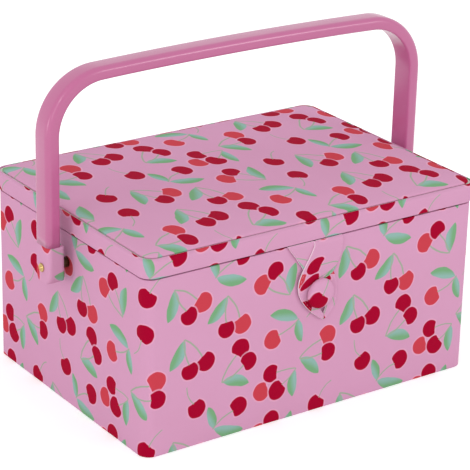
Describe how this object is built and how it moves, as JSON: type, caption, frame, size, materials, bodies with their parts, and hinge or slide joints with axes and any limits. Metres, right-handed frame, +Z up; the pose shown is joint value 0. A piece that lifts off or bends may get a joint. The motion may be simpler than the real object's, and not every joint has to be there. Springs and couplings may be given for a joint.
{
  "type": "sewing box with trays",
  "caption": "Fabric-covered sewing box with a hinged padded lid, a loop-and-button closure, a moulded swing handle and lift-out compartment trays.",
  "frame": {"origin": "middle of the underside, on the plane that the box stands on", "axes": "+X to the right along the front, +Y from the front to the hinge at the back, +Z up"},
  "size_m": [0.3004, 0.1983, 0.2305],
  "materials": {
    "print_cotton": "printed cotton, matt",
    "greyboard": "uncoated board",
    "satin": "satin lining cloth",
    "handle_plastic": "semi-gloss moulding",
    "tray_plastic": "semi-gloss moulding",
    "brass": "bright",
    "steel": "plain",
    "foam": "soft wadding",
    "elastic": "ribbed elastic binding",
    "cushion_cloth": "brushed cotton"
  },
  "bodies": {
    "box": {"front_board": "greyboard", "rear_board": "greyboard", "left_board": "greyboard", "right_board": "greyboard", "base_board": "greyboard", "box_cover": "print_cotton", "base_cover": "greyboard", "front_lining": "satin", "rear_lining": "satin", "left_lining": "satin", "right_lining": "satin", "base_lining": "satin", "hinge_tape_box": "print_cotton", "hinge_strip_box": "satin", "pivot_pins": "brass", "pin_spacers": "brass", "pin_washers": "steel", "button_cap": "print_cotton", "button_shank": "steel", "button_washer": "steel"},
    "lid": {"lid_board": "greyboard", "lid_front_rail": "greyboard", "lid_rear_rail": "greyboard", "lid_left_rail": "greyboard", "lid_right_rail": "greyboard", "lid_band_cover": "print_cotton", "lid_padding": "foam", "lid_top_cover": "print_cotton", "lid_lining": "satin", "lid_pocket": "satin", "pocket_elastic": "elastic", "pincushion": "cushion_cloth", "hinge_tape_lid": "print_cotton", "hinge_strip_lid": "satin"},
    "loop": {"closure_loop": "print_cotton"},
    "handle": {"handle_bar": "handle_plastic", "left_handle_tab": "print_cotton", "right_handle_tab": "print_cotton"},
    "left_tray": {"left_tray": "tray_plastic"},
    "right_tray": {"right_tray": "tray_plastic"}
  },
  "joints": [
    {"name": "lid_open", "type": "hinge", "parent": "box", "child": "lid", "pos_m": [0, 0.09555, 0.12155], "axis": [-1, 0, 0], "range_deg": [0, 100]},
    {"name": "loop_flip", "type": "hinge", "parent": "lid", "child": "loop", "pos_m": [0, -0.09565, 0.1202], "axis": [-1, 0, 0], "range_deg": [0, 150]},
    {"name": "handle_swing", "type": "hinge", "parent": "box", "child": "handle", "pos_m": [0, 0, 0.101], "axis": [-1, 0, 0], "range_deg": [-115, 115]},
    {"name": "left_tray_lift", "type": "slide", "parent": "box", "child": "left_tray", "axis": [0, 0, 1], "range_m": [0, 0.042]},
    {"name": "right_tray_lift", "type": "slide", "parent": "box", "child": "right_tray", "axis": [0, 0, 1], "range_m": [0, 0.042]}
  ],
  "couplings": [
    {"joint": "handle_swing", "follows": "lid_open", "ratio": 1.15},
    {"joint": "left_tray_lift", "follows": "lid_open", "m_per_rad": 0.024},
    {"joint": "right_tray_lift", "follows": "lid_open", "m_per_rad": 0.024}
  ]
}
